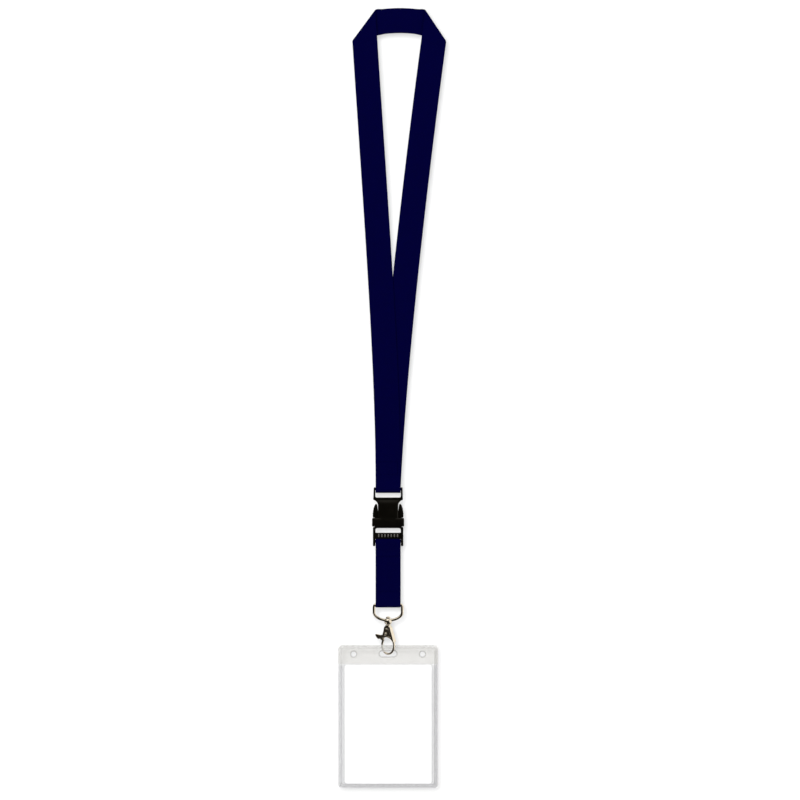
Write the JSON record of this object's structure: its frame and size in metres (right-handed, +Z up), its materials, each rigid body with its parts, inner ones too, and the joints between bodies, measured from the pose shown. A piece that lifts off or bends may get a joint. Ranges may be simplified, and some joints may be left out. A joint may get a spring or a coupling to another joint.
{
  "type": "lanyard badge holder",
  "caption": "Navy ribbon neck lanyard with a side-release buckle and a swivel snap hook that carries a clear vinyl badge pouch with a blank white card.",
  "frame": {"origin": "middle of the underside of the ribbon behind the neck, straight above the buckle and the badge", "axes": "+Z up along the hanging lanyard, the front of the badge faces -Y, +X to the right seen from the front"},
  "size_m": [0.0866, 0.0117, 0.624],
  "materials": {
    "ribbon": "fine ribbed polyester ribbon, matt navy",
    "buckle": "satin moulded black acetal",
    "nickel": "polished nickel plate on a zinc casting",
    "spring_steel": "drawn spring wire",
    "clear_vinyl": "clear flexible vinyl film",
    "frosted_vinyl": "milky flexible vinyl film",
    "card": "smooth blank white card"
  },
  "bodies": {
    "neck": {"neck_strap": "ribbon"},
    "socket": {"buckle_socket": "buckle"},
    "plug": {"buckle_plug": "buckle"},
    "arm_left": {"release_arm_left": "buckle"},
    "arm_right": {"release_arm_right": "buckle"},
    "short_loop": {"short_strap": "ribbon"},
    "ring": {"strap_ring": "nickel"},
    "hook": {"swivel_pin": "nickel", "hook_body": "nickel", "gate_rivet": "nickel", "gate_spring": "spring_steel"},
    "gate": {"gate_lever": "nickel"},
    "pouch": {"pouch_back_sheet": "clear_vinyl", "pouch_edge_weld": "clear_vinyl", "pouch_front_sheet": "clear_vinyl", "pouch_header_strip": "frosted_vinyl"},
    "card": {"card_insert": "card"}
  },
  "joints": [
    {"name": "buckle_tilt", "type": "hinge", "parent": "neck", "child": "socket", "pos_m": [0, 0, -0.3645], "axis": [1, 0, 0], "range_deg": [-60, 60]},
    {"name": "buckle_release", "type": "slide", "parent": "socket", "child": "plug", "axis": [0, 0, -1], "range_m": [0, 0.022], "deforming": ["release_arm_left", "release_arm_right"]},
    {"name": "squeeze_left", "type": "hinge", "parent": "plug", "child": "arm_left", "pos_m": [-0.0093, 0, -0.3935], "axis": [0, 1, 0], "range_deg": [0, 11], "stiffness_Nm_per_rad": 0.5},
    {"name": "squeeze_right", "type": "hinge", "parent": "plug", "child": "arm_right", "pos_m": [0.0093, 0, -0.3935], "axis": [0, -1, 0], "range_deg": [0, 11], "stiffness_Nm_per_rad": 0.5},
    {"name": "strap_swing", "type": "hinge", "parent": "plug", "child": "short_loop", "pos_m": [0, 0, -0.4064], "axis": [1, 0, 0], "range_deg": [-55, 55]},
    {"name": "ring_swing", "type": "hinge", "parent": "short_loop", "child": "ring", "pos_m": [0, 0, -0.4572], "axis": [1, 0, 0], "range_deg": [-60, 60]},
    {"name": "hook_swivel", "type": "hinge", "parent": "ring", "child": "hook", "pos_m": [0, 0, -0.4706], "axis": [0, 0, 1], "continuous": true},
    {"name": "gate_open", "type": "hinge", "parent": "hook", "child": "gate", "pos_m": [-0.0011, 0.00069, -0.4806], "axis": [-0.5299, -0.848, 0], "range_deg": [0, 6], "stiffness_Nm_per_rad": 0.05, "springref_deg": -5.73},
    {"name": "badge_sway", "type": "hinge", "parent": "hook", "child": "pouch", "pos_m": [0, 0, -0.4958], "axis": [0, 1, 0], "range_deg": [-22, 22]},
    {"name": "card_slide", "type": "slide", "parent": "pouch", "child": "card", "axis": [0, 0, 1], "range_m": [0, 0.007]}
  ]
}
